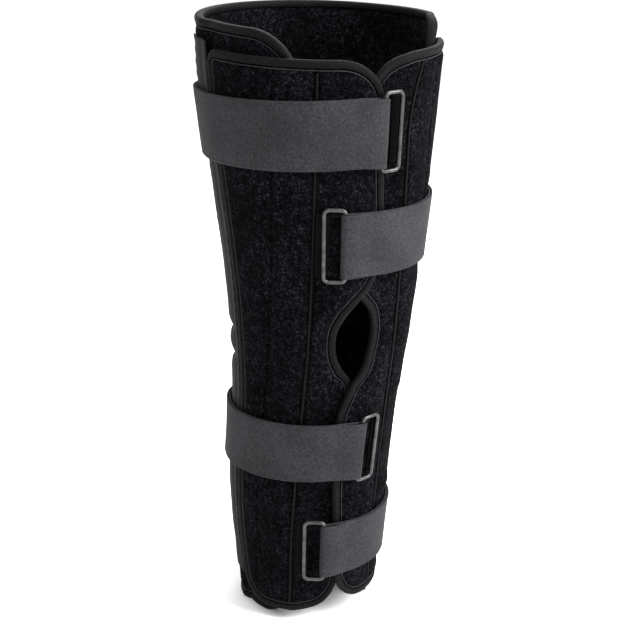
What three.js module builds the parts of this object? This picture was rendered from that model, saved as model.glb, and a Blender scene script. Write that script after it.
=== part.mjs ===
// Knee immobilizer, fastened and empty, standing upright on the bound lower edge of its back panel.
// A padded back panel wraps the leg from behind. A left and a right side panel lie over its sides and
// meet at the front: above the knee cap the left flap lies on the right one, below it the right flap
// lies on the left one, and between the two crossings they leave an almond-shaped opening.
// Four straps, each folded back through a wire ring, close it. A sewn tab lies at each ring.
// Millimetres. +Z runs up the leg, the knee cap faces -Y, and "left" is the side towards -X.

import * as THREE from 'three';

// Driving dimensions
const HEIGHT = 484; // floor to the top of the back panel
const TOP_RADIUS = 94; // outside of the side panels at the top
const BEND_DEGREES = 5; // between thigh and shin
const BEND_LENGTH = 60; // how softly the bend turns, up and down the leg
const KNEE_HEIGHT = 250; // middle of the opening
const OPENING_HEIGHT = 67;
const OPENING_WIDTH = 28;
const CROSSING_ANGLE = 2.4; // degrees from the front, where the flaps cross
const SIDE_FOAM = 4.5; // thickness of a padded side panel
const BACK_FOAM = 6;
const LAYER_GAP = 1.5; // room between two panels, one on the other
const CLEARANCE = 0.3; // between pieces that touch
const BINDING_WIDTH = 5.2;
const BINDING_PROUD = 0.35;
const GROOVE = 0.5; // between a binding and its panel
const LEFT_TOP = HEIGHT - 18;
const LEFT_BOTTOM = 9.5;
const RIGHT_TOP = HEIGHT - 15;
const RIGHT_BOTTOM = 17;
const SIDE_REAR_ANGLE = 81; // rear edge of both side panels, degrees from the front
const BACK_LEFT_TOP_ANGLE = 28; // left edge of the back panel, degrees from the front
const BACK_LEFT_BOTTOM_ANGLE = 36;
const BACK_RIGHT_TOP_ANGLE = 62; // its right edge
const BACK_RIGHT_BOTTOM_ANGLE = 54;
const LEFT_SEAM = 34; // round the leg, from the front line to the stitching
const RIGHT_SEAM = 42;
const POCKET_WIDTH = 32; // the stitched channel that holds a stay
const POCKET_RISE = 1.2;
const SEAM_DEPTH = 0.4;
const TAPE_WIDTH = 38;
const TAPE_THICKNESS = 1;
const LEFT_TAPE_TOP = LEFT_TOP + 4;
const RIGHT_TAPE_TOP = RIGHT_TOP - 17;
const TAPE_BOTTOM = 30;
const CREASE_DEPTH = 3; // folds behind the knee
const STRAP_WIDTH = 50;
const STRAP_THICKNESS = 1.4;
const PLY_GAP = 0.35; // between the two plies of a strap
const TAIL_ANGLE = 50; // from a strap's free end to its fixed end, past the back of the leg
const RING_SLACK = 1.7; // between the strap and each end of the ring's slot
const RING_WIDTH = 19;
const RING_WIRE = 3.2;
const RING_BEND = 3.8; // corner radius of the wire's middle
const RING_HEIGHT = 3.4; // middle of the ring above the panel
const RING_TILT_DEGREES = 4.7; // the strap's bar stands higher than the tab's
const TAB_THICKNESS = 0.8;
const TAB_SEWN = 4.6; // from the ring to the tab's sewn end
const TAB_FREE = 4; // from the ring's middle to the tab's free end in the slot
const FLARE = 3; // the back panel's right end leans out above the right panel

// The outside of the side panels up the leg, at shares of HEIGHT. Radius and sideways lean are shares
// of TOP_RADIUS.
const SECTIONS = [
  { at: 0.0, radius: 0.603, lean: -0.035 },
  { at: 0.083, radius: 0.634, lean: -0.047 },
  { at: 0.165, radius: 0.67, lean: -0.063 },
  { at: 0.248, radius: 0.697, lean: -0.061 },
  { at: 0.331, radius: 0.705, lean: -0.044 },
  { at: 0.413, radius: 0.723, lean: -0.024 },
  { at: 0.496, radius: 0.76, lean: -0.012 },
  { at: 0.579, radius: 0.798, lean: -0.009 },
  { at: 0.661, radius: 0.843, lean: -0.014 },
  { at: 0.744, radius: 0.891, lean: -0.023 },
  { at: 0.826, radius: 0.938, lean: -0.034 },
  { at: 0.909, radius: 0.978, lean: -0.044 },
  { at: 1.0, radius: 1.0, lean: -0.047 },
];

// Front edges of the two flaps. "at" is the height above the opening's middle as a share of half the
// opening's height. "left" and "right" are the edges' places, from the line where the flaps cross, as
// shares of half the opening's width.
const FLAP_EDGES = [
  { at: -7.5, left: 0.46, right: 0.15 },
  { at: -5.0, left: 0.46, right: -0.22 },
  { at: -3.5, left: 0.48, right: -0.5 },
  { at: -1.9, left: 0.52, right: -0.66 },
  { at: -1.35, left: 0.42, right: -0.3 },
  { at: -1.0, left: 0.16, right: 0.06 },
  { at: -0.7, left: -0.48, right: 0.56 },
  { at: -0.35, left: -0.94, right: 0.86 },
  { at: 0.0, left: -1.1, right: 1.08 },
  { at: 0.35, left: -1.03, right: 1.18 },
  { at: 0.7, left: -0.6, right: 0.96 },
  { at: 1.0, left: 0.0, right: 0.32 },
  { at: 1.3, left: 0.62, right: -0.28 },
  { at: 1.6, left: 1.0, right: -0.45 },
  { at: 2.2, left: 1.32, right: -0.45 },
  { at: 4.0, left: 1.15, right: -0.2 },
  { at: 6.4, left: 0.95, right: 0.3 },
];

// Middle of a strap's thickness above the panels' outside. "past" is how far round the leg it is past
// the rear edge of the side panel.
const STRAP_SEAT = [
  { past: -20, rise: 1.5 },
  { past: 0, rise: 1.8 },
  { past: 12, rise: 1.3 },
  { past: 24, rise: 0.95 },
  { past: 42, rise: 0.9 },
  { past: 58, rise: -0.3 },
  { past: 70, rise: -0.5 },
];

// The straps from the top. "at" is the height of the middle as a share of HEIGHT, "ring" the place of the
// ring's middle round the leg from the front line as a share of TOP_RADIUS, "heading" the side that the
// strap leaves for, "drop" how much lower it lies at the back as a share of HEIGHT, and "width" its share
// of STRAP_WIDTH, which is less where the strap is stretched.
const STRAPS = [
  { at: 0.856, ring: 0.229, heading: -1, drop: 0.0207, width: 1.02 },
  { at: 0.683, ring: -0.197, heading: 1, drop: 0.0062, width: 0.99 },
  { at: 0.33, ring: 0.218, heading: -1, drop: 0.0083, width: 0.955 },
  { at: 0.148, ring: -0.17, heading: 1, drop: 0, width: 0.96 },
].map(({ at, ring, heading, drop, width }) => ({
  middle: at * HEIGHT,
  ring: ring * TOP_RADIUS,
  heading,
  drop: drop * HEIGHT,
  half: (width * STRAP_WIDTH) / 2,
}));

const DEGREE = Math.PI / 180;
const HALF_OPENING = OPENING_HEIGHT / 2;
const LAYER = SIDE_FOAM + LAYER_GAP;
const REAR_LAYER = TAPE_THICKNESS + CLEARANCE + 0.6; // the back panel comes out behind the side panels
const RAMP = 20; // how far round a flap sinks under the other
const STEP_START = SIDE_REAR_ANGLE + 2;
const STATION_STEP = (180 - STEP_START) / 10; // between the back panel's columns, degrees
const STEP_END = STEP_START + STATION_STEP;
const STRAP_STEP = 10; // between a strap's stations, degrees

const FABRIC = new THREE.MeshStandardMaterial({ color: 0x0d0d10, roughness: 0.95, metalness: 0 });
const BINDING = new THREE.MeshStandardMaterial({ color: 0x232427, roughness: 0.85, metalness: 0 });
const WEBBING = new THREE.MeshStandardMaterial({ color: 0x47484a, roughness: 0.8, metalness: 0 });
const WIRE = new THREE.MeshStandardMaterial({ color: 0x77797b, roughness: 0.35, metalness: 0.9 });

// Smooth curve through a table's rows
function along(table, key, column, at) {
  const last = table.length - 1;
  let i = 0;
  while (i < last - 1 && at > table[i + 1][key]) i += 1;
  const from = table[i];
  const to = table[i + 1];
  const before = table[Math.max(i - 1, 0)];
  const after = table[Math.min(i + 2, last)];
  const span = to[key] - from[key];
  const share = THREE.MathUtils.clamp((at - from[key]) / span, 0, 1);
  const leave = ((to[column] - before[column]) / (to[key] - before[key])) * span;
  const arrive = ((after[column] - from[column]) / (after[key] - from[key])) * span;
  const s2 = share * share;
  const s3 = s2 * share;
  return (
    (2 * s3 - 3 * s2 + 1) * from[column] +
    (s3 - 2 * s2 + share) * leave +
    (3 * s2 - 2 * s3) * to[column] +
    (s3 - s2) * arrive
  );
}

function smooth(share) {
  const t = THREE.MathUtils.clamp(share, 0, 1);
  return t * t * (3 - 2 * t);
}

function radius(z) {
  return along(SECTIONS, 'at', 'radius', z / HEIGHT) * TOP_RADIUS;
}

function lean(z) {
  return along(SECTIONS, 'at', 'lean', z / HEIGHT) * TOP_RADIUS;
}

function setBack(z) {
  const bend = Math.tan((BEND_DEGREES / 2) * DEGREE);
  return bend * (Math.hypot(z - KNEE_HEIGHT, BEND_LENGTH) - BEND_LENGTH);
}

// A point at an angle round the leg, in radians from the front, and a height out from the panels
function place(angle, z, rise) {
  const r = radius(z) + rise;
  return new THREE.Vector3(lean(z) + r * Math.sin(angle), setBack(z) - r * Math.cos(angle), z);
}

function outward(angle) {
  return new THREE.Vector3(Math.sin(angle), -Math.cos(angle), 0);
}

// A closed body from its corners and four-sided faces, turned so that its faces point out
function body(corners, quads) {
  const index = [];
  for (const [a, b, c, d] of quads) index.push(a, b, c, a, c, d);
  let volume = 0;
  const cross = new THREE.Vector3();
  for (let i = 0; i < index.length; i += 3) {
    cross.crossVectors(corners[index[i + 1]], corners[index[i + 2]]);
    volume += corners[index[i]].dot(cross);
  }
  if (volume < 0) index.reverse();
  const geometry = new THREE.BufferGeometry();
  geometry.setAttribute('position', new THREE.Float32BufferAttribute(corners.flatMap((p) => p.toArray()), 3));
  geometry.setIndex(index);
  geometry.computeVertexNormals();
  return geometry;
}

// A wall between two grids of the same size
function wall(outer, inner) {
  const rows = outer.length;
  const columns = outer[0].length;
  const corners = [...outer.flat(), ...inner.flat()];
  const front = (j, i) => j * columns + i;
  const back = (j, i) => rows * columns + j * columns + i;
  const quads = [];
  for (let j = 0; j < rows - 1; j += 1) {
    for (let i = 0; i < columns - 1; i += 1) {
      quads.push([front(j, i), front(j, i + 1), front(j + 1, i + 1), front(j + 1, i)]);
      quads.push([back(j, i), back(j + 1, i), back(j + 1, i + 1), back(j, i + 1)]);
    }
  }
  for (let i = 0; i < columns - 1; i += 1) {
    quads.push([front(0, i), back(0, i), back(0, i + 1), front(0, i + 1)]);
    quads.push([front(rows - 1, i), front(rows - 1, i + 1), back(rows - 1, i + 1), back(rows - 1, i)]);
  }
  for (let j = 0; j < rows - 1; j += 1) {
    quads.push([front(j, 0), front(j + 1, 0), back(j + 1, 0), back(j, 0)]);
    quads.push([front(j, columns - 1), back(j, columns - 1), back(j + 1, columns - 1), front(j + 1, columns - 1)]);
  }
  return body(corners, quads);
}

// A bar through sections with the same number of corners, either a closed loop or capped at its ends
function bar(sections, looped) {
  const sides = sections[0].length;
  const count = sections.length;
  const corners = sections.flat();
  const at = (k, m) => (k % count) * sides + (m % sides);
  const quads = [];
  for (let k = 0; k < (looped ? count : count - 1); k += 1) {
    for (let m = 0; m < sides; m += 1) quads.push([at(k, m), at(k, m + 1), at(k + 1, m + 1), at(k + 1, m)]);
  }
  if (!looped) {
    quads.push([at(0, 3), at(0, 2), at(0, 1), at(0, 0)]);
    quads.push([at(count - 1, 0), at(count - 1, 1), at(count - 1, 2), at(count - 1, 3)]);
  }
  return body(corners, quads);
}

function flapEdge(column, z) {
  const at = (z - KNEE_HEIGHT) / HALF_OPENING;
  const crossing = CROSSING_ANGLE * DEGREE * radius(KNEE_HEIGHT);
  return crossing + along(FLAP_EDGES, 'at', column, at) * (OPENING_WIDTH / 2);
}

// 1 where the left flap lies on the right one, 0 where it lies under it
function leftOnTop(z) {
  return smooth((z - KNEE_HEIGHT + HALF_OPENING) / OPENING_HEIGHT);
}

// The raised channel between a seam and the next one, with the stitching sunk at both. It flattens
// at the panel's ends and under the straps.
function pocket(panel, share, z) {
  if (share <= 0 || share >= 1) return Math.abs(share - Math.round(share)) < 0.02 ? -SEAM_DEPTH : 0;
  let free = smooth((Math.min(z - panel.bottom, panel.top - z) - BINDING_WIDTH) / POCKET_WIDTH);
  for (const strap of STRAPS) {
    const beside = Math.abs(z - strap.middle + strap.drop / 2) - STRAP_WIDTH / 2;
    free *= smooth((beside - strap.drop / 2 - 4) / 14);
  }
  return POCKET_RISE * Math.sin(Math.PI * share) * free;
}

const LEFT_PANEL = {
  bottom: LEFT_BOTTOM,
  top: LEFT_TOP,
  west: (z) => -SIDE_REAR_ANGLE * DEGREE * radius(z),
  east: (z) => flapEdge('left', z),
  corners: { westBottom: [28, 30], eastBottom: [30, 32], westTop: [12, 12], eastTop: [34, 30] },
  foam: SIDE_FOAM,
  knots: [-LEFT_SEAM - POCKET_WIDTH, -LEFT_SEAM],
  divisions: [4, 3, 4],
  rise(a, z) {
    const under = smooth((a + LEFT_SEAM) / RAMP) * (1 - leftOnTop(z));
    return pocket(this, (a + LEFT_SEAM + POCKET_WIDTH) / POCKET_WIDTH, z) - LAYER * under;
  },
};

const RIGHT_PANEL = {
  bottom: RIGHT_BOTTOM,
  top: RIGHT_TOP,
  west: (z) => flapEdge('right', z),
  east: (z) => SIDE_REAR_ANGLE * DEGREE * radius(z),
  corners: { westBottom: [26, 28], eastBottom: [20, 24], westTop: [42, 38], eastTop: [12, 12] },
  foam: SIDE_FOAM,
  knots: [RIGHT_SEAM, RIGHT_SEAM + POCKET_WIDTH],
  divisions: [4, 3, 4],
  rise(a, z) {
    const under = smooth((RIGHT_SEAM - a) / RAMP) * leftOnTop(z);
    return pocket(this, (a - RIGHT_SEAM) / POCKET_WIDTH, z) - LAYER * under;
  },
};

// Folds behind the knee, two sharp ones across the back
function crease(angle, z) {
  const behind = smooth((Math.abs(angle / DEGREE) - STEP_START) / STATION_STEP);
  const fold = (height) => Math.exp(-(((z - height) / 6) ** 2));
  return -CREASE_DEPTH * behind * FOLDS.reduce((sum, below) => sum + fold(KNEE_HEIGHT - below), 0);
}

// Outside of the back panel: sunk under the side panels, and further out behind them
function backRise(angle, z) {
  const turned = Math.atan2(Math.sin(angle), Math.cos(angle));
  const step = smooth((Math.abs(turned / DEGREE) - STEP_START) / (STEP_END - STEP_START));
  const right = smooth((turned / DEGREE - 30) / 30) * smooth((130 - turned / DEGREE) / 30);
  const lean = FLARE * right * smooth((z - RIGHT_TOP + 2) / (HEIGHT - RIGHT_TOP));
  return -LAYER + (LAYER - REAR_LAYER) * step + lean + crease(turned, z);
}

const BACK_PANEL = {
  bottom: 0,
  top: HEIGHT,
  west(z) {
    const right = THREE.MathUtils.lerp(BACK_RIGHT_BOTTOM_ANGLE, BACK_RIGHT_TOP_ANGLE, z / HEIGHT);
    return right * DEGREE * radius(z);
  },
  east(z) {
    const left = THREE.MathUtils.lerp(BACK_LEFT_BOTTOM_ANGLE, BACK_LEFT_TOP_ANGLE, z / HEIGHT);
    return (360 - left) * DEGREE * radius(z);
  },
  corners: { westBottom: [14, 15], eastBottom: [27, 26], westTop: [42, 42], eastTop: [44, 42] },
  foam: BACK_FOAM,
  stations: true,
  rise: (a, z) => backRise(a / radius(z), z),
};

// Heights of the rows between two heights, closer together beside the opening or at the folds
function rowHeights(low, high, close) {
  const heights = [];
  const spread = (from, to) => {
    const count = Math.ceil((to - from) / 28);
    for (let k = 1; k < count; k += 1) heights.push(from + ((to - from) * k) / count);
  };
  spread(low, close[0]);
  heights.push(...close);
  spread(close[close.length - 1], high);
  return heights;
}

const BESIDE_OPENING = [-5, -4, -3, -2, -1, 0, 1, 2, 3, 4, 5].map((k) => KNEE_HEIGHT + (k * OPENING_HEIGHT) / 6);
const FOLDS = [31, 8];
const AT_FOLDS = [46, 38, 31, 24, 16, 8, 0, -8].map((below) => KNEE_HEIGHT - below);

const CORNER_TURNS = [0, 30, 60, 90];

// One end of each row of a panel, from the bottom up, drawn in from the panel's edge
function sideOf(panel, side, inset) {
  const [bottomWide, bottomHigh] = panel.corners[`${side}Bottom`];
  const [topWide, topHigh] = panel.corners[`${side}Top`];
  const inwards = side === 'west' ? 1 : -1;
  const lowest = Math.max(panel.corners.westBottom[1], panel.corners.eastBottom[1]) + panel.bottom;
  const highest = panel.top - Math.max(panel.corners.westTop[1], panel.corners.eastTop[1]);
  const points = [];
  const add = (z, pull) => {
    const slope = panel[side](z + 1) - panel[side](z - 1);
    const slanted = inset * Math.hypot(1, slope / 2);
    points.push({ a: panel[side](z) + inwards * (slanted + pull), z });
  };
  for (const turn of [...CORNER_TURNS].reverse()) {
    const z = panel.bottom + bottomHigh - (bottomHigh - inset) * Math.sin(turn * DEGREE);
    add(z, (bottomWide - inset) * (1 - Math.cos(turn * DEGREE)));
  }
  for (const z of rowHeights(lowest, highest, panel.stations ? AT_FOLDS : BESIDE_OPENING)) add(z, 0);
  for (const turn of CORNER_TURNS) {
    const z = panel.top - topHigh + (topHigh - inset) * Math.sin(turn * DEGREE);
    add(z, (topWide - inset) * (1 - Math.cos(turn * DEGREE)));
  }
  return points;
}

// Places of a row's columns round the leg: at fixed angles on the back panel, and elsewhere even
// between the seams
function columnsOf(panel, west, east, z) {
  if (panel.stations) {
    const r = radius(z);
    const first = STEP_START - STATION_STEP;
    const places = [west];
    for (let angle = first; angle <= 360.1 - first; angle += STATION_STEP) {
      places.push(THREE.MathUtils.clamp(angle * DEGREE * r, west, east));
    }
    return spreadEnds(places, east);
  }
  const width = east - west;
  const low = Math.max(panel.knots[0], west + 0.1 * width);
  const high = Math.min(Math.max(panel.knots[1], low + 0.1 * width), east - 0.1 * width);
  const knots = [west, Math.min(low, high - 0.1 * width), high, east];
  const places = [west];
  panel.divisions.forEach((count, part) => {
    for (let k = 1; k <= count; k += 1) {
      places.push(THREE.MathUtils.lerp(knots[part], knots[part + 1], k / count));
    }
  });
  return places;
}

// Stations that a rounded corner has passed share out the room next to the corner
function spreadEnds(places, east) {
  const west = places[0];
  const all = [...places, east];
  const firstFree = all.findIndex((a) => a > west + 3);
  for (let k = 1; k < firstFree; k += 1) all[k] = THREE.MathUtils.lerp(west, all[firstFree], k / firstFree);
  const last = all.length - 1;
  let lastFree = last;
  while (all[lastFree] > east - 3) lastFree -= 1;
  for (let k = lastFree + 1; k < last; k += 1) {
    all[k] = THREE.MathUtils.lerp(all[lastFree], east, (k - lastFree) / (last - lastFree));
  }
  return all;
}

// All grid points of a panel, drawn in from its edge
function gridOf(panel, inset) {
  const west = sideOf(panel, 'west', inset);
  const east = sideOf(panel, 'east', inset);
  return west.map((start, j) => {
    const end = east[j];
    const middle = (start.z + end.z) / 2;
    return columnsOf(panel, start.a, end.a, middle).map((a, i, row) => {
      const share = (a - start.a) / (end.a - start.a);
      return { a, z: THREE.MathUtils.lerp(start.z, end.z, i === row.length - 1 ? 1 : share) };
    });
  });
}

function onPanel(panel, point, rise) {
  return place(point.a / radius(point.z), point.z, panel.rise(point.a, point.z) + rise);
}

function panelBody(panel) {
  const grid = gridOf(panel, BINDING_WIDTH + GROOVE);
  const lay = (rise) => grid.map((row) => row.map((point) => onPanel(panel, point, rise)));
  return wall(lay(0), lay(-panel.foam));
}

// The grid's rim as one loop
function rimOf(grid) {
  const top = grid[grid.length - 1];
  const width = top.length - 1;
  const middle = grid.slice(1, -1);
  return [
    ...grid[0],
    ...middle.map((row) => row[width]),
    ...[...top].reverse(),
    ...[...middle].reverse().map((row) => row[0]),
  ];
}

// The folded tape round a panel's edge, a flat-sided bead with softened outer corners
function bindingBody(panel) {
  const bead = [
    { inset: BINDING_WIDTH, rise: BINDING_PROUD },
    { inset: 1.3, rise: BINDING_PROUD },
    { inset: 0, rise: -1.1 },
    { inset: 0, rise: 1.1 - panel.foam },
    { inset: 1.3, rise: -panel.foam - BINDING_PROUD },
    { inset: BINDING_WIDTH, rise: -panel.foam - BINDING_PROUD },
  ];
  const rims = bead.map(({ inset }) => rimOf(gridOf(panel, inset)));
  const sections = rims[0].map((_, k) => bead.map(({ rise }, m) => onPanel(panel, rims[m][k], rise)));
  return bar(sections, true);
}

// The tape from a side panel's rear edge onto the back panel. side is -1 or 1.
function tapeBody(side, top) {
  const corner = HEIGHT - BACK_PANEL.corners.westTop[1];
  const back = rowHeights(BACK_PANEL.corners.eastBottom[1], corner, AT_FOLDS);
  const rows = [TAPE_BOTTOM, ...back.filter((z) => z > TAPE_BOTTOM + 5), corner, top];
  const lay = (thickness) =>
    rows.map((z) => {
      const start = SIDE_REAR_ANGLE + CLEARANCE / radius(z) / DEGREE;
      const end = start + TAPE_WIDTH / radius(z) / DEGREE;
      const flat = STEP_END + STATION_STEP;
      const angles = [start, STEP_START, STEP_END, flat, (flat + end) / 2, end];
      if (side < 0) angles.reverse();
      return angles.map((angle) => {
        const onBack = backRise(angle * DEGREE, z) + CLEARANCE;
        const rise = angle <= STEP_START ? BINDING_PROUD - TAPE_THICKNESS : onBack;
        return place(side * angle * DEGREE, z, rise + thickness);
      });
    });
  return wall(lay(TAPE_THICKNESS), lay(0));
}

// The ring's own directions at its place on the leg
function ringFrame(strap) {
  const angle = strap.ring / radius(strap.middle);
  const { half } = strap;
  const above = place(angle, strap.middle + half, RING_HEIGHT);
  const below = place(angle, strap.middle - half, RING_HEIGHT);
  const up = above.clone().sub(below).normalize();
  const tilt = -strap.heading * RING_TILT_DEGREES * DEGREE;
  const across = new THREE.Vector3(Math.cos(angle), Math.sin(angle), 0).applyAxisAngle(up, tilt);
  const out = across.clone().cross(up);
  const origin = above.add(below).multiplyScalar(0.5);
  return (x, y, z) => origin.clone().addScaledVector(across, x).addScaledVector(up, y).addScaledVector(out, z);
}

function ringBody(strap) {
  const at = ringFrame(strap);
  const wide = (RING_WIDTH - RING_WIRE) / 2;
  const high = strap.half + RING_SLACK + RING_WIRE / 2;
  const sections = [];
  for (const [sx, sy, start] of [[1, 1, 0], [-1, 1, 90], [-1, -1, 180], [1, -1, 270]]) {
    for (const turn of [0, 30, 60, 90]) {
      const direction = (start + turn) * DEGREE;
      const x = sx * (wide - RING_BEND) + RING_BEND * Math.cos(direction);
      const y = sy * (high - RING_BEND) + RING_BEND * Math.sin(direction);
      const section = [];
      for (let m = 0; m < 6; m += 1) {
        const reach = (RING_WIRE / 2) * Math.cos(m * 60 * DEGREE);
        const lift = (RING_WIRE / 2) * Math.sin(m * 60 * DEGREE);
        section.push(at(x + reach * Math.cos(direction), y + reach * Math.sin(direction), lift));
      }
      sections.push(section);
    }
  }
  return bar(sections, true);
}

// A flat band through stations, each with its upper and lower edge and the way its face looks
function band(stations, thickness) {
  const half = thickness / 2;
  return bar(
    stations.map(({ top, bottom, out }) => [
      top.clone().addScaledVector(out, half),
      top.clone().addScaledVector(out, -half),
      bottom.clone().addScaledVector(out, -half),
      bottom.clone().addScaledVector(out, half),
    ]),
    false,
  );
}

// Stations of a strap folded round its bar of the ring
function foldStations(strap) {
  const at = ringFrame(strap);
  const { half, heading } = strap;
  const reach = RING_WIRE / 2 + CLEARANCE + STRAP_THICKNESS / 2;
  const middle = (heading * (RING_WIDTH - RING_WIRE)) / 2;
  const stations = [];
  for (let turn = 90; turn <= 270; turn += 30) {
    const x = middle + heading * reach * Math.cos(turn * DEGREE);
    const z = reach * Math.sin(turn * DEGREE);
    const out = at(heading * Math.cos(turn * DEGREE), 0, Math.sin(turn * DEGREE)).sub(at(0, 0, 0));
    stations.push({ top: at(x, half, z), bottom: at(x, -half, z), out });
  }
  return stations;
}

// One strap: free tail on the outside, round the ring's bar, and back under itself round the leg
function strapBody(strap) {
  const { middle, heading, half } = strap;
  const r = radius(middle);
  const barAngle = (strap.ring + (heading * (RING_WIDTH - RING_WIRE)) / 2) / r / DEGREE;
  const tailEnd = 180 - TAIL_ANGLE;
  const fixedEnd = 180 + TAIL_ANGLE / 2;
  const station = (angle, lift, side) => {
    const level = middle - strap.drop * Math.sin((Math.min(Math.abs(angle), 180) / 2) * DEGREE);
    const turned = Math.abs(Math.atan2(Math.sin(angle * DEGREE), Math.cos(angle * DEGREE)) / DEGREE);
    const rise = along(STRAP_SEAT, 'past', 'rise', (turned - SIDE_REAR_ANGLE) * DEGREE * r) + lift;
    const out = outward(angle * DEGREE).multiplyScalar(side);
    const top = place(angle * DEGREE, level + half, rise);
    return { top, bottom: place(angle * DEGREE, level - half, rise), out };
  };
  const after = (length) => Math.ceil((heading * barAngle + length / r / DEGREE) / STRAP_STEP) * STRAP_STEP;
  const stations = [];
  const outer = STRAP_THICKNESS + PLY_GAP;
  for (let angle = tailEnd; angle >= after(20); angle -= STRAP_STEP) stations.push(station(heading * angle, outer, 1));
  stations.push(...foldStations(strap));
  for (let angle = after(6); angle <= fixedEnd; angle += STRAP_STEP) stations.push(station(heading * angle, 0, -1));
  return band(stations, STRAP_THICKNESS);
}

// The tab at a ring: sewn to the panel beside the ring, flat under the ring's free bar and into the slot
function tabBody(strap) {
  const side = -strap.heading;
  const panel = side < 0 ? LEFT_PANEL : RIGHT_PANEL;
  const sewn = strap.ring + side * (RING_WIDTH / 2 + TAB_SEWN);
  const free = strap.ring + side * TAB_FREE;
  const stations = [0, 0.5, 1].map((share) => {
    const a = THREE.MathUtils.lerp(sewn, free, share);
    const at = (z) => onPanel(panel, { a, z }, 2 * CLEARANCE + TAB_THICKNESS / 2);
    const out = outward(a / radius(strap.middle));
    return { top: at(strap.middle + strap.half), bottom: at(strap.middle - strap.half), out };
  });
  return band(stations, TAB_THICKNESS);
}

const group = new THREE.Group();

function add(name, geometry, material) {
  const mesh = new THREE.Mesh(geometry, material);
  mesh.name = name;
  group.add(mesh);
}

for (const [name, panel] of Object.entries({ back: BACK_PANEL, left: LEFT_PANEL, right: RIGHT_PANEL })) {
  add(`${name}_panel`, panelBody(panel), FABRIC);
  add(`${name}_binding`, bindingBody(panel), BINDING);
}
add('left_rear_tape', tapeBody(-1, LEFT_TAPE_TOP), BINDING);
add('right_rear_tape', tapeBody(1, RIGHT_TAPE_TOP), BINDING);
STRAPS.forEach((strap, k) => {
  add(`strap_${k + 1}`, strapBody(strap), WEBBING);
  add(`ring_${k + 1}`, ringBody(strap), WIRE);
  add(`ring_tab_${k + 1}`, tabBody(strap), BINDING);
});

// The origin is under the middle of the object, on the floor
const box = new THREE.Box3().setFromObject(group);
group.position.set(-(box.min.x + box.max.x) / 2, -(box.min.y + box.max.y) / 2, -box.min.z);

export default group;
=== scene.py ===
"""Knee immobilizer: padded panels, bindings, tapes, straps and tabs in fabric, and wire rings."""

import math

import bpy
import numpy as np
from mathutils import Matrix, Vector, kdtree, noise


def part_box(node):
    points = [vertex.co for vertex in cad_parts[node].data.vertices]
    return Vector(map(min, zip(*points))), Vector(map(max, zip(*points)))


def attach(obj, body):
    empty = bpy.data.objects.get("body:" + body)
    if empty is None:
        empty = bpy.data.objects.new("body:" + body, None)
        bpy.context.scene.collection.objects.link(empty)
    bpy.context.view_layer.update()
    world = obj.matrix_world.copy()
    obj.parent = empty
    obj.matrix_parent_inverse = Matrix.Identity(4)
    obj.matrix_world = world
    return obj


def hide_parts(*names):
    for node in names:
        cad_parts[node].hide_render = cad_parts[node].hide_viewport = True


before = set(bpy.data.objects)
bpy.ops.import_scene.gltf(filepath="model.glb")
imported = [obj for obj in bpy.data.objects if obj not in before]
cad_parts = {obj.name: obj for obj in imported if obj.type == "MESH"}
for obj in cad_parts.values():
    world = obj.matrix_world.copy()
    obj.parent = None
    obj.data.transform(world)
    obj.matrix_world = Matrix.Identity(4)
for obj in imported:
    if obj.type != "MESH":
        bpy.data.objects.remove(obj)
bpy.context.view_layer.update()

# Driving dimensions, in millimetres and degrees, as in the CAD. Only the binding is a little wider,
# over the CAD's gap beside it.
MM = 0.001
HEIGHT = 484.0
TOP_RADIUS = 94.0
BEND_DEGREES = 5.0
BEND_LENGTH = 60.0
KNEE_HEIGHT = 250.0
OPENING_HEIGHT = 67.0
OPENING_WIDTH = 28.0
CROSSING_ANGLE = 2.4
SIDE_FOAM = 4.5
BACK_FOAM = 6.0
LAYER_GAP = 1.5
LAYER = SIDE_FOAM + LAYER_GAP
BINDING_WIDTH = 5.6
LEFT_TOP = HEIGHT - 18
LEFT_BOTTOM = 9.5
RIGHT_TOP = HEIGHT - 15
RIGHT_BOTTOM = 17.0
SIDE_REAR_ANGLE = 81.0
BACK_LEFT_TOP_ANGLE = 28.0
BACK_LEFT_BOTTOM_ANGLE = 36.0
BACK_RIGHT_TOP_ANGLE = 62.0
BACK_RIGHT_BOTTOM_ANGLE = 54.0
LEFT_SEAM = 34.0
RIGHT_SEAM = 42.0
POCKET_WIDTH = 32.0
POCKET_RISE = 1.2
TAPE_WIDTH = 38.0
TAPE_THICKNESS = 1.0
LEFT_TAPE_TOP = LEFT_TOP + 4
RIGHT_TAPE_TOP = RIGHT_TOP - 17
TAPE_BOTTOM = 30.0
CREASE_DEPTH = 3.0
FOLD_HEIGHTS = [KNEE_HEIGHT - 31, KNEE_HEIGHT - 8]
FOLD_WIDTH = 6.0
STRAP_WIDTH = 50.0
STRAP_THICKNESS = 1.4
PLY_GAP = 0.35
TAIL_ANGLE = 50.0
RING_SLACK = 1.7
RING_WIDTH = 19.0
RING_WIRE = 3.2
RING_BEND = 3.8
RING_HEIGHT = 3.4
RING_TILT_DEGREES = 4.7
TAB_THICKNESS = 0.8
TAB_SEWN = 4.6
TAB_FREE = 4.0
CLEARANCE = 0.3
FLARE = 3.0  # how far the back panel's right end leans out at the top
FLARE_FROM = 30.0  # degrees from the front where that starts
FLARE_TO = 130.0  # and where it ends
FLARE_TURN = 30.0  # degrees over which it grows and fades
RAMP = 20.0  # how far round a flap sinks under the other
REAR_GAP = 0.6
REAR_LAYER = TAPE_THICKNESS + CLEARANCE + REAR_GAP
STEP_START = SIDE_REAR_ANGLE + 2  # the back panel comes out behind the side panels from here on
STEP_WIDTH = (180 - STEP_START) / 10
STRAP_MARGIN = 4.0  # the padding starts to rise this far from a strap
STRAP_FADE = 14.0  # and is free this much further on

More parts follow.
